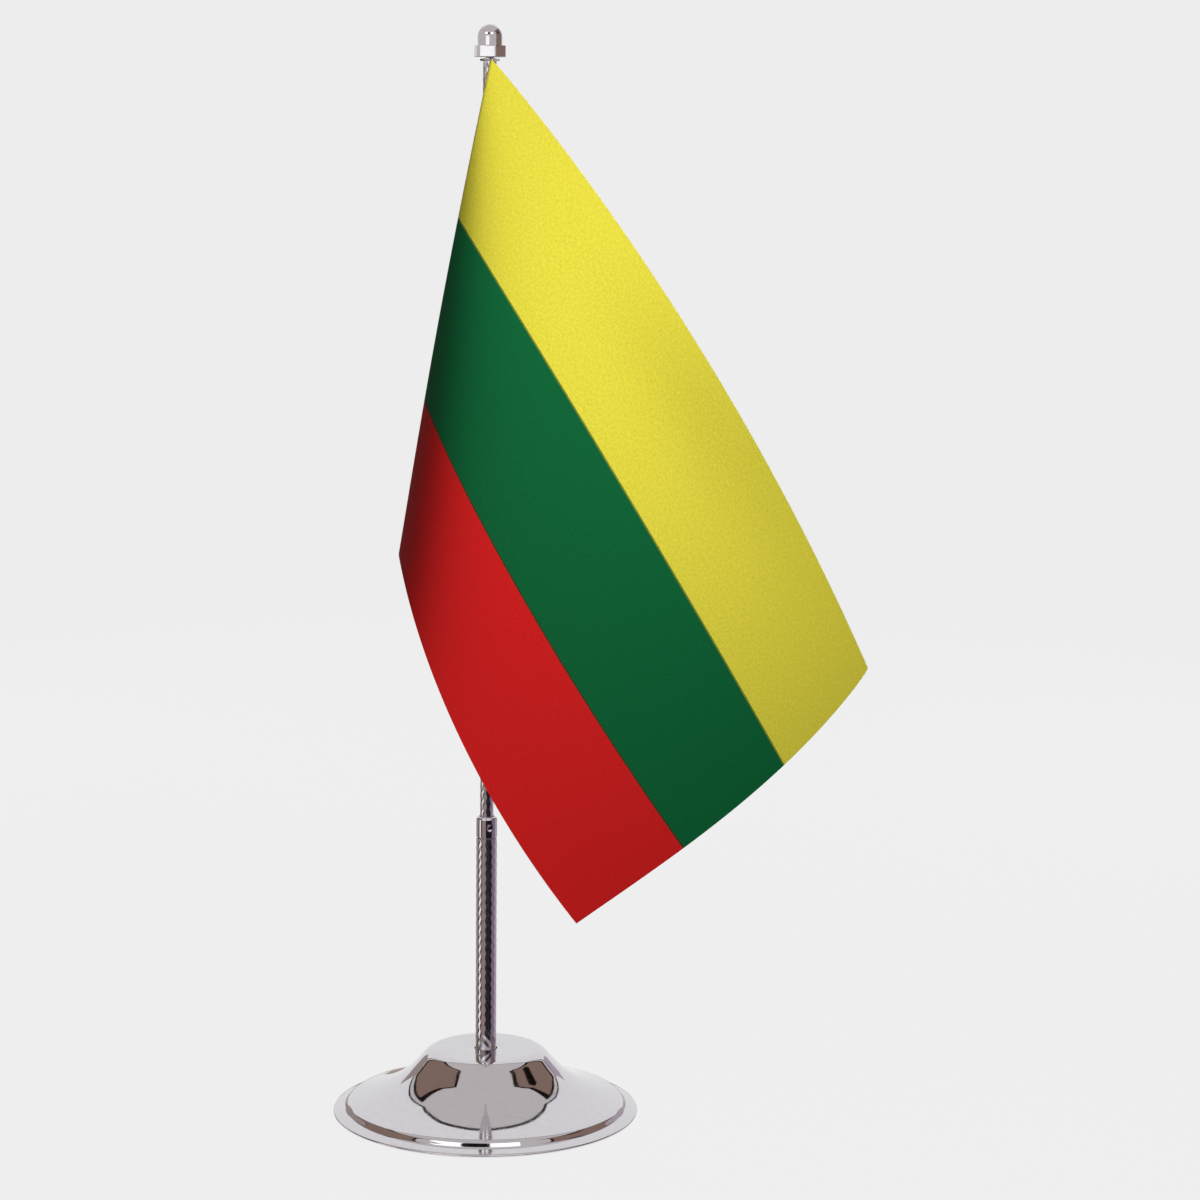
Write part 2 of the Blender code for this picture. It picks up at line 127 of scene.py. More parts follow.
# Fold, and the depth in Y at which the flap behind it hangs
FOLD_RADIUS_TOP = 0.8 * MM
FOLD_RADIUS_GROWTH = 2.0 * MM
FOLD_RADIUS_POWER = 6.0
FOLD_HELIX = 0.9
FLAP_DEPTH_TOP = -5.1 * MM
FLAP_DEPTH_BOTTOM = -7.2 * MM

# Swell of the front layer, and the curl of the long free edge
BULGE_SLOPE = 2.4
BULGE_SLOPE_REACH = 69.0 * MM
BULGE_WIDTH = 15.2 * MM
BULGE_WIDTH_LEAST = 0.1 * MM
BULGE_WIDTH_REACH = 73.0 * MM
FLY_RETREAT = 2.0
CURL_SLOPE = 0.5
CURL_WIDTH = 24.0 * MM
CURL_EASE = 7.0 * MM
CURL_CENTRE = 150.0 * MM
CURL_SPAN = 65.0 * MM
CURL_WAY = Vector((-0.05, -1.0, 0.11))

# Sheet, and the points it is drawn with
CLOTH_THICKNESS = 0.12 * MM
CLOTH_ROWS = 120
FLAP_COLUMNS = 40
ROLL_COLUMNS = 24
FRONT_COLUMNS = 136
FRONT_SPREAD = 1.6

# Studio, with the cards that the chrome mirrors
STUDIO_GREY = "#C4BFBE"
STUDIO_STRENGTH = 1.1
SCREEN_RADIUS = 1.2
SCREEN_STEPS = 12
POLE_SCREEN_TOP = 0.4
WALL_BOTTOM = 0.41
MAT_INNER_RADIUS = 0.065
MAT_HEIGHT = 0.5 * MM


# Meshes


def add_piece(name, bm, body, slot, material, *replaced, sharp=35.0):
    """Weld the seams, turn the faces outward and hang the finished piece on its body."""
    bmesh.ops.remove_doubles(bm, verts=bm.verts, dist=0.001 * MM)
    bmesh.ops.recalc_face_normals(bm, faces=bm.faces)
    mesh = bpy.data.meshes.new(name)
    bm.to_mesh(mesh)
    bm.free()
    mesh.materials.append(material)
    mesh.shade_smooth()
    mesh.set_sharp_from_angle(angle=math.radians(sharp))
    piece = bpy.data.objects.new(name, mesh)
    bpy.context.scene.collection.objects.link(piece)
    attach(piece, body)
    if replaced:
        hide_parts(*replaced)
    return piece


def turn_outline(bm, outline, facets):
    """Spin a closed (radius, height) outline all round the Z axis."""
    corners = [bm.verts.new((radius, 0.0, height)) for radius, height in outline]
    pairs = zip(corners, corners[1:] + corners[:1])
    edges = [bm.edges.new(pair) for pair in pairs if any(corner.co.x > 0 for corner in pair)]
    bmesh.ops.spin(
        bm,
        geom=corners + edges,
        cent=(0.0, 0.0, 0.0),
        axis=(0.0, 0.0, 1.0),
        angle=FULL_TURN,
        steps=facets,
        use_merge=True,
    )


def arc(centre, radius, start, end, steps):
    """Points of a round edge in the (radius, height) plane, between two angles in degrees."""
    points = []
    for step in range(steps + 1):
        angle = math.radians(start + (end - start) * step / steps)
        points.append((centre[0] + radius * math.cos(angle), centre[1] + radius * math.sin(angle)))
    return points


def bezier(start, pull, end, steps):
    """Points along a quadratic curve from start to end, without its first point."""
    points = []
    for step in range(1, steps + 1):
        t = step / steps
        weights = ((1 - t) ** 2, 2 * t * (1 - t), t ** 2)
        radius = sum(weight * point[0] for weight, point in zip(weights, (start, pull, end)))
        height = sum(weight * point[1] for weight, point in zip(weights, (start, pull, end)))
        points.append((radius, height))
    return points


def make_bell(material):
    """The pressed shell: plateau, flank, concave sweep, steep shoulder and a rolled brim."""
    plateau_edge = (19.0 * MM, PLATEAU_TOP)
    flank_head = (24.6 * MM, 23.1 * MM)
    flank_foot = (29.6 * MM, 17.5 * MM)
    sweep_start = (52.2 * MM, 5.75 * MM)
    shoulder_head = (54.1 * MM, 4.6 * MM)
    shoulder_foot = (54.75 * MM, 3.6 * MM)
    brim_inside = (56.2 * MM, 2.8 * MM)
    brim_edge = 0.5 * MM
    hole = LOWER_RADIUS + GAP
    hole_edge = 0.3 * MM
    outline = arc((BASE_RADIUS - brim_edge, 1.4 * MM), brim_edge, -90.0, 62.0, 8)
    outline += bezier(outline[-1], (58.0 * MM, 2.3 * MM), brim_inside, 5)
    outline += bezier(brim_inside, (55.1 * MM, 3.05 * MM), shoulder_foot, 10)
    outline += bezier(shoulder_foot, (54.42 * MM, 4.12 * MM), shoulder_head, 4)
    outline += bezier(shoulder_head, (53.65 * MM, 5.3 * MM), sweep_start, 12)
    outline += bezier(sweep_start, (37.0 * MM, 10.2 * MM), flank_foot, 28)
    outline += bezier(flank_foot, (27.1 * MM, 20.3 * MM), flank_head, 8)
    outline += bezier(flank_head, (22.3 * MM, PLATEAU_TOP), plateau_edge, 14)
    outline += [(12.0 * MM, PLATEAU_TOP)]
    outline += arc((hole + hole_edge, PLATEAU_TOP - hole_edge), hole_edge, 90.0, 180.0, 4)
    ceiling = PLATEAU_TOP - SHELL_WALL
    inner_foot = (28.9 * MM, 16.9 * MM)
    outline += [(hole, ceiling), (19.0 * MM, ceiling), (23.9 * MM, 22.4 * MM), inner_foot]
    outline += bezier(inner_foot, (36.4 * MM, 9.6 * MM), (52.4 * MM, 4.1 * MM), 10)
    outline += [(57.6 * MM, 1.6 * MM), (58.6 * MM, 0.9 * MM)]
    bm = bmesh.new()
    turn_outline(bm, outline, 192)
    add_piece("chrome_bell", bm, "base", "bell_chrome", material, "base_shell", sharp=50.0)


def fluted_section(bm, radius, height):
    """One closed ring of points round a fluted tube: rounded ribs with hollows between."""
    ring = bmesh.ops.create_circle(bm, segments=FLUTES * POINTS_PER_FLUTE, radius=radius)["verts"]
    for corner in ring:
        angle = math.atan2(corner.co.y, corner.co.x)
        hollow = (0.5 - 0.5 * math.cos(angle * FLUTES)) ** FLUTE_ROUNDNESS
        corner.co *= 1.0 - FLUTE_DEPTH / radius * hollow
        corner.co.z = height
    return ring


def make_fluted_tube(name, radius, bore, bottom, top, body, material, *replaced):
    """A drawn tube whose flutes wind up it as a left-handed helix."""
    bm = bmesh.new()
    fluted_section(bm, radius, bottom)
    foot = list(bm.edges)
    steps = max(2, round((top - bottom) / FLUTE_STEP))
    rise = (top - bottom) / steps
    bmesh.ops.spin(
        bm,
        geom=list(bm.verts) + foot,
        cent=(0.0, 0.0, bottom),
        axis=(0.0, 0.0, 1.0),
        dvec=(0.0, 0.0, rise),
        angle=-FULL_TURN * (top - bottom) / FLUTE_LEAD,
        steps=steps,
    )
    for height in (bottom, top):
        at_height = {corner for corner in bm.verts if abs(corner.co.z - height) < rise / 4}
        rim = [edge for edge in bm.edges if at_height.issuperset(edge.verts)]
        made = bmesh.ops.extrude_edge_only(bm, edges=rim)["geom"]
        for corner in made:
            if isinstance(corner, bmesh.types.BMVert):
                flat = Vector((corner.co.x, corner.co.y, 0.0)).normalized() * bore
                corner.co = Vector((flat.x, flat.y, height))
    ends = [edge for edge in bm.edges if edge.is_boundary]
    bmesh.ops.bridge_loops(bm, edges=ends)
    add_piece(name, bm, body, "pole_chrome", material, *replaced, sharp=60.0)


def make_upper_bead(material):
    """The rolled bead near the sliding tube's foot, which stops it in the collar."""
    bottom = BEAD_CENTRE - BEAD_HALF_HEIGHT
    top = BEAD_CENTRE + BEAD_HALF_HEIGHT
    outline = [(UPPER_BORE, bottom), (UPPER_RADIUS, bottom)]
    outline += arc((UPPER_RADIUS, BEAD_CENTRE), BEAD_RADIUS - UPPER_RADIUS, -80.0, 80.0, 10)
    outline += [(UPPER_RADIUS, top), (UPPER_BORE, top)]
    bm = bmesh.new()
    turn_outline(bm, outline, 48)
    add_piece("stop_bead", bm, "upper_pole", "pole_chrome", material)


def press(bm, centre, radius, depth):
    """Sink a round punch mark into the wall around centre."""
    for corner in bm.verts:
        distance = (corner.co - centre).length
        if distance < radius:
            inward = Vector((-corner.co.x, -corner.co.y, 0.0)).normalized()
            share = math.cos(distance / radius * math.pi / 2) ** PUNCH_ROUNDNESS
            corner.co += inward * depth * share


def make_collar(material):
    """The guide collar: a rounded head, an eased foot and the punch mark of its crimp."""
    bore = UPPER_RADIUS + GAP
    spigot = LOWER_BORE - GAP
    head_edge = 1.3 * MM
    foot_edge = 0.45 * MM
    low = COLLAR_RING_BOTTOM
    high = COLLAR_HIGH.z
    outline = [(bore, COLLAR_LOW.z), (spigot, COLLAR_LOW.z), (spigot, low)]
    outline += arc((LOWER_RADIUS - foot_edge, low + foot_edge), foot_edge, -90.0, 0.0, 4)
    rows = 32
    row_height = (high - head_edge - low - foot_edge) / rows
    for row in range(1, rows):
        outline.append((LOWER_RADIUS, low + foot_edge + row_height * row))
    outline += arc((LOWER_RADIUS - head_edge, high - head_edge), head_edge, 0.0, 82.0, 12)
    outline += [(bore, high)]
    bm = bmesh.new()
    turn_outline(bm, outline, 144)
    mark = Vector((0.33 * LOWER_RADIUS, -0.94 * LOWER_RADIUS, (low + high) / 2))
    press(bm, mark, 1.15 * MM, 0.4 * MM)
    for dent in (Vector((-0.5, 0.0, 1.0)) * MM, Vector((0.7, 0.0, 0.9)) * MM):
        press(bm, mark + dent, 0.6 * MM, 0.3 * MM)
    add_piece("guide_collar", bm, "base", "collar_chrome", material, "collar")


def ease(bm, edges, width):
    """Round edges off over a width."""
    bmesh.ops.bevel(
        bm,
        geom=edges,
        offset=width,
        offset_type="OFFSET",
        affect="EDGES",
        segments=4,
        profile=0.5,
        material=-1,
    )


def make_finial(material):
    """The cap nut: a hexagon with eased corners under a polished dome."""
    corner = HEX_ACROSS_FLATS / 2 / math.cos(math.pi / 6)
    bm = bmesh.new()
    bmesh.ops.create_cone(
        bm, cap_ends=True, segments=6, radius1=corner, radius2=corner, depth=HEX_HEIGHT
    )
    uprights = [edge for edge in bm.edges if abs(edge.verts[0].co.z - edge.verts[1].co.z) > MM]
    ease(bm, uprights, HEX_UPRIGHT_EASE)
    level = [edge for edge in bm.edges if abs(edge.verts[0].co.z - edge.verts[1].co.z) < 0.01 * MM]
    rims = [edge for edge in level if edge.calc_face_angle(0.0) > 1.0]
    ease(bm, rims, HEX_RIM_EASE)
    bmesh.ops.rotate(bm, verts=bm.verts, cent=(0, 0, 0), matrix=Matrix.Rotation(HEX_TURN, 3, "Z"))
    bmesh.ops.translate(bm, verts=bm.verts, vec=(0.0, 0.0, HEX_BOTTOM + HEX_HEIGHT / 2))
    shoulder = HEX_BOTTOM + HEX_HEIGHT
    dome_foot = FINIAL_HIGH.z - DOME_RADIUS
    outline = [(0.0, shoulder - DOME_SINK), (DOME_RADIUS, shoulder - DOME_SINK)]
    outline += arc((0.0, dome_foot), DOME_RADIUS, 0.0, 90.0, 20)[:-1]
    outline += [(0.0, FINIAL_HIGH.z)]
    turn_outline(bm, outline, 64)
    add_piece("domed_cap_nut", bm, "finial", "collar_chrome", material, "finial", sharp=10.0)


def fold_radius(v):
    """The fold is tight at the top corner and opens out near its foot."""
    return FOLD_RADIUS_TOP + FOLD_RADIUS_GROWTH * v ** FOLD_RADIUS_POWER


def fold_line(v):
    """The fold that makes the flag's left side, at share v of the hoist."""
    share = v - FOLD_SPACING * math.sin(FULL_TURN * v)
    edge = FOLD_CORNER - TOP_CORNER
    outward = Vector((edge.z, 0.0, -edge.x)).normalized()
    return TOP_CORNER.lerp(FOLD_CORNER, share) + outward * FOLD_BOW * math.sin(math.pi * share)


def fly_line(v):
    """The flag's free edge, which bows away from the pole."""
    edge = FLY_BOTTOM - FLY_TOP
    outward = Vector((-edge.z, 0.0, edge.x)).normalized()
    bow = FLY_EDGE_BOW * math.sin(math.pi * v ** FLY_BOW_SKEW)
    return FLY_TOP.lerp(FLY_BOTTOM, v) + outward * bow


def reach_of(place):
    """How far a place on the front layer lies from the top corner, seen from the front."""
    return Vector((place.x - TOP_CORNER.x, 0.0, place.z - TOP_CORNER.z)).length


def bulge_slope(reach):
    """How steeply the front layer leaves the fold, at a distance from the top corner."""
    return BULGE_SLOPE * (1.0 - math.exp(-reach / BULGE_SLOPE_REACH))


def front_bulge(place, start):
    """How far the front layer stands forward: a swell along the fold, then a retreat to the fly."""
    reach = reach_of(place)
    aside = (place - start).dot(FOLD_ACROSS)
    width = BULGE_WIDTH * (1.0 - math.exp(-reach / BULGE_WIDTH_REACH)) + BULGE_WIDTH_LEAST
    swell = bulge_slope(reach) * width * (1.0 - math.exp(-aside / width))
    return swell - FLY_RETREAT * aside * aside


def edge_curl(place, v):
    """How far the cloth's long free edge curls forward, most of all halfway along it."""
    inside = (CURL_WIDTH - v * FLAG_HOIST) / CURL_EASE
    middle = math.exp(-((reach_of(place) - CURL_CENTRE) / CURL_SPAN) ** 2)
    return CURL_SLOPE * CURL_EASE * math.log(1.0 + math.exp(inside)) * middle


def flag_row(v):
    """One line along the stripes, from the hoist edge, round the fold and out to the fly."""
    radius = fold_radius(v)
    flap_depth = FLAP_DEPTH_TOP + (FLAP_DEPTH_BOTTOM - FLAP_DEPTH_TOP) * v
    centre_depth = flap_depth - radius
    fold = fold_line(v)
    roll_end = math.pi - math.atan(bulge_slope((fold - TOP_CORNER).length))
    roll = []
    for column in range(ROLL_COLUMNS + 1):
        angle = column / ROLL_COLUMNS * roll_end
        place = fold + FOLD_ACROSS * radius * (1.0 - math.sin(angle))
        place += FOLD_DOWN * radius * (angle - math.pi / 2) * FOLD_HELIX * v
        place.y = centre_depth + radius * math.cos(angle)
        roll.append(place)
    hoist = HOIST_TOP.lerp(HOIST_BOTTOM, v)
    hoist.y = flap_depth
    row = [hoist.lerp(roll[0], column / FLAP_COLUMNS) for column in range(FLAP_COLUMNS)]
    row += roll
    start = roll[-1]
    fly = fly_line(v)
    fly.y = start.y
    chord = fly - start
    upward = Vector((-chord.z, 0.0, chord.x)).normalized()
    bow = LINE_BOW_BOTTOM + (LINE_BOW_TOP - LINE_BOW_BOTTOM) * math.exp(-LINE_BOW_FADE * v)
    for column in range(1, FRONT_COLUMNS + 1):
        share = (column / FRONT_COLUMNS) ** FRONT_SPREAD
        skewed = share ** LINE_BOW_SKEW
        place = start.lerp(fly, share) + upward * bow * 4.0 * skewed * (1.0 - skewed)
        curl = edge_curl(place, v)
        place.y -= front_bulge(place, start)
        row.append(place + CURL_WAY * curl)
    return row


def shares_along(row):
    """Each point's share of the way along its row, measured on the cloth."""
    lengths = [0.0]
    for near, far in zip(row, row[1:]):
        lengths.append(lengths[-1] + (far - near).length)
    return [length / lengths[-1] for length in lengths]


def sharpen_rim(mesh):
    """Keep the cut edges crisp, so that the thickness added later doesn't shade the cloth."""
    bm = bmesh.new()
    bm.from_mesh(mesh)
    for edge in bm.edges:
        if edge.is_boundary:
            edge.smooth = False
    bm.to_mesh(mesh)
    bm.free()


def make_flag(material):
    """The printed cloth: a flat grid cut to size, then laid along its hanging rows."""
    columns = FLAP_COLUMNS + ROLL_COLUMNS + FRONT_COLUMNS
    bm = bmesh.new()
    bmesh.ops.create_grid(
        bm, x_segments=columns, y_segments=CLOTH_ROWS, size=0.5, calc_uvs=False
    )
    rows = [flag_row(index / CLOTH_ROWS) for index in range(CLOTH_ROWS + 1)]
    shares = [shares_along(row) for row in rows]
    uv_layer = bm.loops.layers.uv.new("cloth")
    flat = {}
    for corner in bm.verts:
        column = round((corner.co.x + 0.5) * columns)
        row = round((0.5 - corner.co.y) * CLOTH_ROWS)
        flat[corner] = (shares[row][column], row / CLOTH_ROWS)
        corner.co = rows[row][column]
    for face in bm.faces:
        for loop in face.loops:
            loop[uv_layer].uv = flat[loop.vert]
    piece = add_piece(
        "printed_flag", bm, "flag", "flag_fabric", material, "flag_cloth", sharp=180.0
    )
    sharpen_rim(piece.data)
    solidify = piece.modifiers.new("cloth_thickness", "SOLIDIFY")
    solidify.thickness = CLOTH_THICKNESS
    solidify.offset = 0.0
    # The chrome mirrors the studio cards alone, without a second picture of the cloth.
    piece.visible_glossy = False


def make_loop(material):
    """The two-ply cord round the pole's neck, laid as two strands that twist about each other."""
    curve = bpy.data.curves.new("cord_loop", "CURVE")
    curve.dimensions = "3D"
    curve.bevel_depth = STRAND_RADIUS
    curve.bevel_resolution = 3
    ring_radius = (LOOP_HIGH.x - LOOP_LOW.x - LOOP_THICKNESS) / 2
    height = (LOOP_LOW.z + LOOP_HIGH.z) / 2
    for strand in range(2):
        spline = curve.splines.new("POLY")
        spline.points.add(STRAND_POINTS - 1)
        spline.use_cyclic_u = True
        for index, point in enumerate(spline.points):
            angle = FULL_TURN * index / STRAND_POINTS
            twist = angle * STRAND_TWISTS + strand * math.pi
            radius = ring_radius + STRAND_OFFSET * math.cos(twist)
            lift = STRAND_OFFSET * math.sin(twist)
            point.co = (radius * math.cos(angle), radius * math.sin(angle), height + lift, 1.0)
    curve.materials.append(material)
    piece = bpy.data.objects.new("cord_loop", curve)
    bpy.context.scene.collection.objects.link(piece)
    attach(piece, "flag")
    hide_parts("hanging_loop")


# Materials


def linear(hex_color):
    """An sRGB hex colour as linear red, green, blue and alpha."""
    channels = [int(hex_color[index : index + 2], 16) / 255 for index in (1, 3, 5)]
    curved = [c / 12.92 if c <= 0.04045 else ((c + 0.055) / 1.055) ** 2.4 for c in channels]
    return (*curved, 1.0)


def add_node(tree, kind, inputs=None, **settings):
    """Add a node with its settings. An input given a socket is linked, any other is set."""
    node = tree.nodes.new(kind)
    for name, value in settings.items():
        setattr(node, name, value)
    for name, value in (inputs or {}).items():
        if isinstance(value, bpy.types.NodeSocket):
            tree.links.new(value, node.inputs[name])
        else:
            node.inputs[name].default_value = value
    return node


def new_material(name, **sockets):
    """A material with one Principled shader, its plain values set on its own sockets."""
    material = bpy.data.materials.new(name)
    material.use_nodes = True
    tree = material.node_tree
    shader = tree.nodes["Principled BSDF"]
    for socket, value in sockets.items():
        shader.inputs[socket.replace("_", " ").title()].default_value = value
    return material, tree, shader


def bright_chrome(name, swirl, rough_low=0.035, rough_high=0.09):
    """Bright chrome plate on polished steel.

    It gives the eye a cool, near-white mirror. The steel's faint waviness bends the
    reflections, and a thin handling haze makes them sharper in some places than in others.
    """
    material, tree, shader = new_material(name, metallic=1.0)
    wave_length = 9.0 * MM
    haze_length = 2.5 * MM
    coords = add_node(tree, "ShaderNodeTexCoord").outputs["Object"]
    waves = add_node(
        tree,
        "ShaderNodeTexNoise",
        {"Vector": coords, "Scale": 1.0 / wave_length, "Detail": 1.5, "Roughness": 0.4},
    )
    haze = add_node(
        tree,
        "ShaderNodeTexNoise",
        {"Vector": coords, "Scale": 1.0 / haze_length, "Detail": 4.0, "Roughness": 0.6},
    )
    rough = add_node(
        tree,
        "ShaderNodeMapRange",
        {
            "Value": haze.outputs["Fac"],
            "From Min": 0.35,
            "From Max": 0.75,
            "To Min": rough_low,
            "To Max": rough_high,
        },
    )
    tint = add_node(
        tree,
        "ShaderNodeMix",
        {"Factor": haze.outputs["Fac"], "A": linear("#E2E0E4"), "B": linear("#D6D3D8")},
        data_type="RGBA",
    )
    bump = add_node(
        tree,
        "ShaderNodeBump",
        {"Height": waves.outputs["Fac"], "Strength": swirl, "Distance": 0.05 * MM},
    )
    tree.links.new(tint.outputs["Result"], shader.inputs["Base Color"])
    tree.links.new(rough.outputs["Result"], shader.inputs["Roughness"])
    tree.links.new(bump.outputs["Normal"], shader.inputs["Normal"])
    return material


def woven_polyester():
    """Woven polyester flag cloth with three printed stripes.

    It gives the eye strong, even, matt colours with a fine thread grain, and a thin darker
    line where the inks of two stripes overlap.
    """
    material, tree, shader = new_material("printed_polyester", roughness=0.62)
    shader.inputs["Specular IOR Level"].default_value = 0.08
    uv = add_node(tree, "ShaderNodeUVMap", uv_map="cloth").outputs["UV"]
    parts = add_node(tree, "ShaderNodeSeparateXYZ", {"Vector": uv})
    stripes = add_node(tree, "ShaderNodeValToRGB", {"Fac": parts.outputs["Y"]})
    ramp = stripes.color_ramp
    ramp.interpolation = "CONSTANT"
    # The share of the hoist where each colour starts: three stripes and two ink lines
    stops = (
        (0.0, "#D6CB3E"),
        (0.3320, "#6E7C2C"),
        (0.3350, "#0C5C32"),
        (0.6660, "#3A3A22"),
        (0.6685, "#CA1C1C"),
    )
    while len(ramp.elements) < len(stops):
        ramp.elements.new(0.5)
    for element, (position, color) in zip(ramp.elements, stops):
        element.position = position
        element.color = linear(color)
    # The real threads lie about 0.3 mm apart, too fine to show. They are drawn at 0.6 mm.
    thread = 0.6 * MM
    slub = 1.3 * MM
    threads = []
    for spacing in ((slub, thread), (thread, slub)):
        along = (FLAG_FLY / spacing[0], FLAG_HOIST / spacing[1], 1.0)
        laid = add_node(tree, "ShaderNodeMapping", {"Vector": uv, "Scale": along})
        threads.append(
            add_node(
                tree,
                "ShaderNodeTexNoise",
                {"Vector": laid.outputs["Vector"], "Scale": 1.0, "Detail": 1.0, "Roughness": 0.4},
            )
        )
    weave = add_node(
        tree,
        "ShaderNodeMath",
        {0: threads[0].outputs["Fac"], 1: threads[1].outputs["Fac"]},
        operation="ADD",
    )
    shade = add_node(
        tree,
        "ShaderNodeMapRange",
        {
            "Value": weave.outputs[0],
            "From Min": 0.6,
            "From Max": 1.4,
            "To Min": 0.88,
            "To Max": 1.1,
        },
    )
    dyed = add_node(
        tree,
        "ShaderNodeMix",
        {"Factor": 1.0, "A": stripes.outputs["Color"], "B": shade.outputs["Result"]},
        data_type="RGBA",
        blend_type="MULTIPLY",
    )
    bump = add_node(
        tree,
        "ShaderNodeBump",
        {"Height": weave.outputs[0], "Strength": 0.3, "Distance": 0.04 * MM},
    )
    tree.links.new(dyed.outputs["Result"], shader.inputs["Base Color"])
    tree.links.new(bump.outputs["Normal"], shader.inputs["Normal"])
    return material


def noisy(name, low, high, grain, depth, roughness, metallic=0.0):
    """A plain finish whose colour and relief vary over one real grain size."""
    material, tree, shader = new_material(name, roughness=roughness, metallic=metallic)
    coords = add_node(tree, "ShaderNodeTexCoord").outputs["Object"]
    noise = add_node(
        tree,
        "ShaderNodeTexNoise",
        {"Vector": coords, "Scale": 1.0 / grain, "Detail": 5.0, "Roughness": 0.65},
    )
    color = add_node(
        tree,
        "ShaderNodeMix",
        {"Factor": noise.outputs["Fac"], "A": linear(low), "B": linear(high)},
        data_type="RGBA",
    )
    bump = add_node(
        tree,
        "ShaderNodeBump",
        {"Height": noise.outputs["Fac"], "Strength": 0.6, "Distance": depth},
    )
    tree.links.new(color.outputs["Result"], shader.inputs["Base Color"])
    tree.links.new(bump.outputs["Normal"], shader.inputs["Normal"])
    return material


def dress_hidden_nodes():
    """Finishes of the pieces that the shell and the tubes hide."""
    # Bare sand-cast iron: nearly black, rough and grainy
    iron = noisy("sand_cast_iron", "#2B2A2A", "#4A4846", 1.2 * MM, 0.15 * MM, 0.7, 1.0)
    # Pressed wool felt: quite matt, with a soft fibrous pile
    felt = noisy("green_felt", "#12301F", "#1F4A30", 0.35 * MM, 0.12 * MM, 0.95)
    # Bright zinc plate on turned steel: pale grey and softly shiny
    zinc = noisy("zinc_plated_steel", "#B9BCC0", "#D2D4D6", 0.8 * MM, 0.004 * MM, 0.32, 1.0)
    # Bare drawn brass: warm yellow and shiny, with a faint grain
    brass = noisy("drawn_brass", "#B98E3E", "#D0A856", 0.9 * MM, 0.004 * MM, 0.28, 1.0)
    finishes = {
        "base_weight": iron,
        "base_pad": felt,
        "base_screw": zinc,
        "screw_washer": zinc,
        "lock_washer": zinc,
        "foot_plug": zinc,
        "finial_stud": zinc,
        "slide_shoe": brass,
        "end_ring": brass,
    }
    for node, finish in finishes.items():
        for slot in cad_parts[node].material_slots:
            slot.material = finish


# Scene


def make_camera():
    """A long lens a little above the finial's height, looking slightly down at the stand."""
    camera = bpy.data.cameras.new("camera")
    camera.lens = 95.1
    camera.sensor_width = 36.0
    camera.clip_start = 0.05
    item = bpy.data.objects.new("camera", camera)
    place = (0.043, -1.2, 0.385)
    downward = 8.61
    roll = 0.545
    turned = Matrix.Rotation(math.radians(90.0 - downward), 4, "X")
    turned @= Matrix.Rotation(math.radians(roll), 4, "Z")
    item.matrix_world = Matrix.Translation(place) @ turned
    bpy.context.scene.collection.objects.link(item)
    bpy.context.scene.camera = item


def glow(name, color, strength):
    """A plain light-giving finish for a studio card."""
    material = bpy.data.materials.new(name)
    material.use_nodes = True
    tree = material.node_tree
    tree.nodes.clear()
    light = add_node(tree, "ShaderNodeEmission", {"Color": linear(color), "Strength": strength})
    add_node(tree, "ShaderNodeOutputMaterial", {"Surface": light.outputs["Emission"]})
    return material


def link_card(name, bm, material):
    """Put a studio card in the scene, seen only in reflections."""
    mesh = bpy.data.meshes.new(name)
    bm.to_mesh(mesh)
    bm.free()
    mesh.materials.append(material)
    card = bpy.data.objects.new(name, mesh)
    card.visible_camera = False
    card.visible_diffuse = False
    card.visible_shadow = False
    bpy.context.scene.collection.objects.link(card)
    return card


def make_card(name, azimuth, elevation, width, height, color, strength, distance):
    """A flat card. Azimuth 0 is the camera's side and 90 is +X."""
    bm = bmesh.new()
    bmesh.ops.create_grid(bm, x_segments=1, y_segments=1, size=0.5)
    bmesh.ops.scale(bm, verts=bm.verts, vec=(width, height, 1.0))
    card = link_card(name, bm, glow(name, color, strength))
    turn = math.radians(azimuth)
    rise = math.radians(elevation)
    level = Vector((math.sin(turn), -math.cos(turn), 0.0)) * math.cos(rise)
    away = level + Vector((0.0, 0.0, math.sin(rise)))
    bell_middle = Vector((0.0, 0.0, 0.02))
    card.location = bell_middle + away * distance
    card.rotation_mode = "QUATERNION"
    card.rotation_quaternion = away.to_track_quat("Z", "Y")


def make_sweep():
    """A pale paper sweep: the table top and the wall behind it in one curve."""
    bm = bmesh.new()
    width = 5.0
    length = 12.2
    middle = 1.1
    bmesh.ops.create_grid(bm, x_segments=1, y_segments=80, size=0.5)
    bmesh.ops.scale(bm, verts=bm.verts, vec=(width, length, 1.0))
    bmesh.ops.translate(bm, verts=bm.verts, vec=(0.0, middle, 0.0))
    bend_start = 1.6
    bend_radius = 1.4
    for corner in bm.verts:
        past = corner.co.y - bend_start
        if past > 0.0:
            angle = min(past / bend_radius, math.pi / 2)
            rest = past - angle * bend_radius
            corner.co.y = bend_start + bend_radius * math.sin(angle)
            corner.co.z = bend_radius * (1.0 - math.cos(angle)) + rest
    mesh = bpy.data.meshes.new("paper_sweep")
    bm.to_mesh(mesh)
    bm.free()
    mesh.shade_smooth()
    # Matt paper, evenly lit: a pale, shadowless ground
    material, _, shader = new_material("pale_paper", roughness=0.9)
    shader.inputs["Base Color"].default_value = linear("#202020")
    shader.inputs["Emission Color"].default_value = linear("#EDEDED")
    shader.inputs["Emission Strength"].default_value = 1.0
    shader.inputs["Specular IOR Level"].default_value = 0.0
    mesh.materials.append(material)
    sweep = bpy.data.objects.new("paper_sweep", mesh)
    sweep.visible_diffuse = False
    bpy.context.scene.collection.objects.link(sweep)


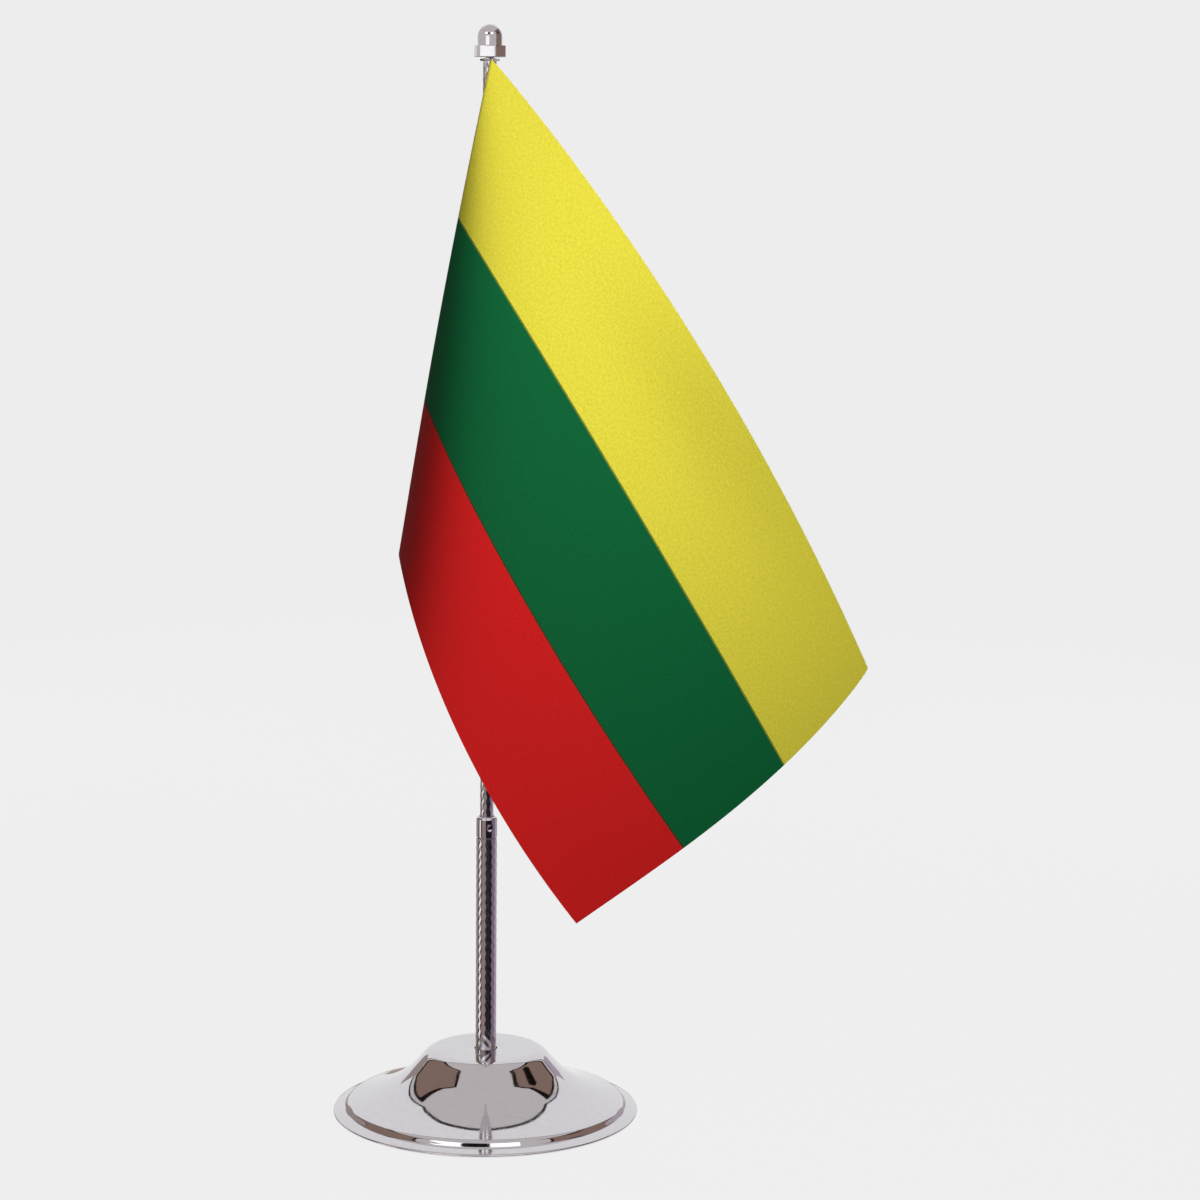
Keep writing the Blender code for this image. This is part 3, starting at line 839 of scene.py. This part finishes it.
def make_area(name, place, aim, size, power):
    """A soft light that only the matt surfaces take up."""
    light = bpy.data.lights.new(name, "AREA")
    light.size = size
    light.energy = power
    item = bpy.data.objects.new(name, light)
    item.location = place
    item.rotation_mode = "QUATERNION"
    item.rotation_quaternion = (Vector(aim) - Vector(place)).to_track_quat("-Z", "Y")
    item.visible_glossy = False
    item.visible_camera = False
    bpy.context.scene.collection.objects.link(item)


def make_lights():
    """A key light on the flag's front, two soft ones on its back, and the room's even grey."""
    aim = (0.02, -0.03, 0.25)
    make_area("key_softbox", (0.24, -0.465, 0.558), aim, 0.12, 4.3)
    make_area("back_softbox_left", (-0.6, 0.85, 0.5), aim, 0.5, 6.0)
    make_area("back_softbox_right", (0.6, 0.85, 0.5), aim, 0.5, 6.0)
    world = bpy.data.worlds.new("studio")
    bpy.context.scene.world = world
    world.use_nodes = True
    world.cycles_visibility.diffuse = False
    background = world.node_tree.nodes["Background"]
    background.inputs["Color"].default_value = linear(STUDIO_GREY)
    background.inputs["Strength"].default_value = STUDIO_STRENGTH
    bpy.context.scene.view_settings.view_transform = "Standard"


def make_screen(name, start, end, color, strength, bottom, tops, radius=SCREEN_RADIUS):
    """A curved screen round the stand, between two azimuths, its top level or sloping."""
    bm = bmesh.new()
    bmesh.ops.create_grid(bm, x_segments=SCREEN_STEPS, y_segments=1, size=0.5)
    for corner in bm.verts:
        share = corner.co.x + 0.5
        angle = math.radians(start + (end - start) * share)
        top = tops[0] + (tops[1] - tops[0]) * share
        height = top if corner.co.y > 0.0 else bottom
        corner.co = Vector((math.sin(angle), -math.cos(angle), 0.0)) * radius
        corner.co.z = height
    link_card(name, bm, glow(name, color, strength))


def make_mat(name, start, end, color, strength):
    """A flat ring sector on the table top, from the stand's foot out to the screens."""
    bm = bmesh.new()
    bmesh.ops.create_grid(bm, x_segments=SCREEN_STEPS, y_segments=1, size=0.5)
    for corner in bm.verts:
        angle = math.radians(start + (end - start) * (corner.co.x + 0.5))
        reach = SCREEN_RADIUS if corner.co.y > 0.0 else MAT_INNER_RADIUS
        corner.co = Vector((math.sin(angle) * reach, -math.cos(angle) * reach, MAT_HEIGHT))
    link_card(name, bm, glow(name, color, strength))


def make_pole_screen(name, start, end, color, strength):
    """A low screen with a mat of its own colour in front of it, for the upright tubes."""
    make_screen(name, start, end, color, strength, 0.0, (POLE_SCREEN_TOP, POLE_SCREEN_TOP))
    make_mat(name + "_mat", start, end, color, strength)


def make_cards():
    """Everything that the chrome mirrors. Azimuths run from the camera's side towards +X."""
    strips = (
        ("taupe_screen_left", -150.0, -98.0, "#A0948F", 1.0),
        ("brown_screen_left", -98.0, -82.0, "#2A1C1A", 1.0),
        ("white_screen", -82.0, -66.0, "#FFFFFF", 1.2),
        ("brown_screen_right", -66.0, -50.0, "#5A4640", 1.0),
        ("taupe_screen", -50.0, -8.0, "#988582", 1.0),
        ("dark_screen", -8.0, 60.0, "#1C1820", 1.0),
        ("plum_screen", 60.0, 104.0, "#847286", 1.0),
        ("pale_plum_screen", 104.0, 150.0, "#B4A8B2", 1.0),
    )
    for name, start, end, color, strength in strips:
        make_pole_screen(name, start, end, color, strength)
    # White on the cap nut's front face, and the room's grey on the left of its dome
    make_screen("finial_white", -36.0, -4.0, "#FFFFFF", 1.3, WALL_BOTTOM, (0.6, 0.6))
    make_screen("dome_side", -134.0, -48.0, STUDIO_GREY, STUDIO_STRENGTH, 0.408, (0.5, 0.5), 0.08)
    # The brown patches with dark rims on the two sides of the bell
    for side in (-1.0, 1.0):
        start, end = side * 63.0, side * 134.0
        make_screen("wood_edge", start, end, "#1E1412", 1.0, WALL_BOTTOM, (1.96, 1.5), 1.26)
        start, end = side * 66.0, side * 131.0
        make_screen("wood_wall", start, end, "#8C766B", 1.0, WALL_BOTTOM, (1.74, 1.24))
    make_screen("dark_spot", 84.0, 104.0, "#140E0C", 1.0, 0.85, (1.3, 1.22), 1.17)
    # The white, dark and white highlights on the bell's front shoulder
    make_card("front_box_left", -36.0, 49.0, 0.44, 0.3, "#FFFFFF", 1.6, 1.15)
    make_card("front_box_right", 19.0, 49.0, 0.46, 0.3, "#FFFFFF", 1.6, 1.15)
    make_card("front_gap", -6.0, 49.0, 0.5, 0.24, "#1A1618", 1.0, 1.15)
    # The dark line round the paper sweep in the bell's reflection
    make_card("backdrop_edge", 180.0, 0.0, 5.9, 11.6, "#3A3436", 1.0, 3.35)


def build():
    """Make every piece on its body, then the studio round it."""
    smooth_chrome = bright_chrome("bright_chrome", 0.25)
    drawn_chrome = bright_chrome("drawn_chrome", 0.25, 0.13, 0.2)
    pressed_chrome = bright_chrome("pressed_chrome", 0.6)
    make_bell(pressed_chrome)
    make_fluted_tube(
        "fluted_lower_tube",
        LOWER_RADIUS,
        LOWER_BORE,
        LOWER_LOW.z,
        LOWER_HIGH.z,
        "base",
        drawn_chrome,
        "lower_tube",
    )
    make_fluted_tube(
        "fluted_upper_tube",
        UPPER_RADIUS,
        UPPER_BORE,
        UPPER_LOW.z,
        UPPER_HIGH.z,
        "upper_pole",
        drawn_chrome,
        "upper_tube",
    )
    make_upper_bead(drawn_chrome)
    make_collar(smooth_chrome)
    make_finial(smooth_chrome)
    # Spun polyester cord: dull grey-brown and slightly fuzzy
    cord = noisy("polyester_cord", "#8C8884", "#A8A5A0", 0.2 * MM, 0.03 * MM, 0.85)
    make_loop(cord)
    make_flag(woven_polyester())
    dress_hidden_nodes()
    make_sweep()
    make_cards()
    make_lights()
    make_camera()


build()
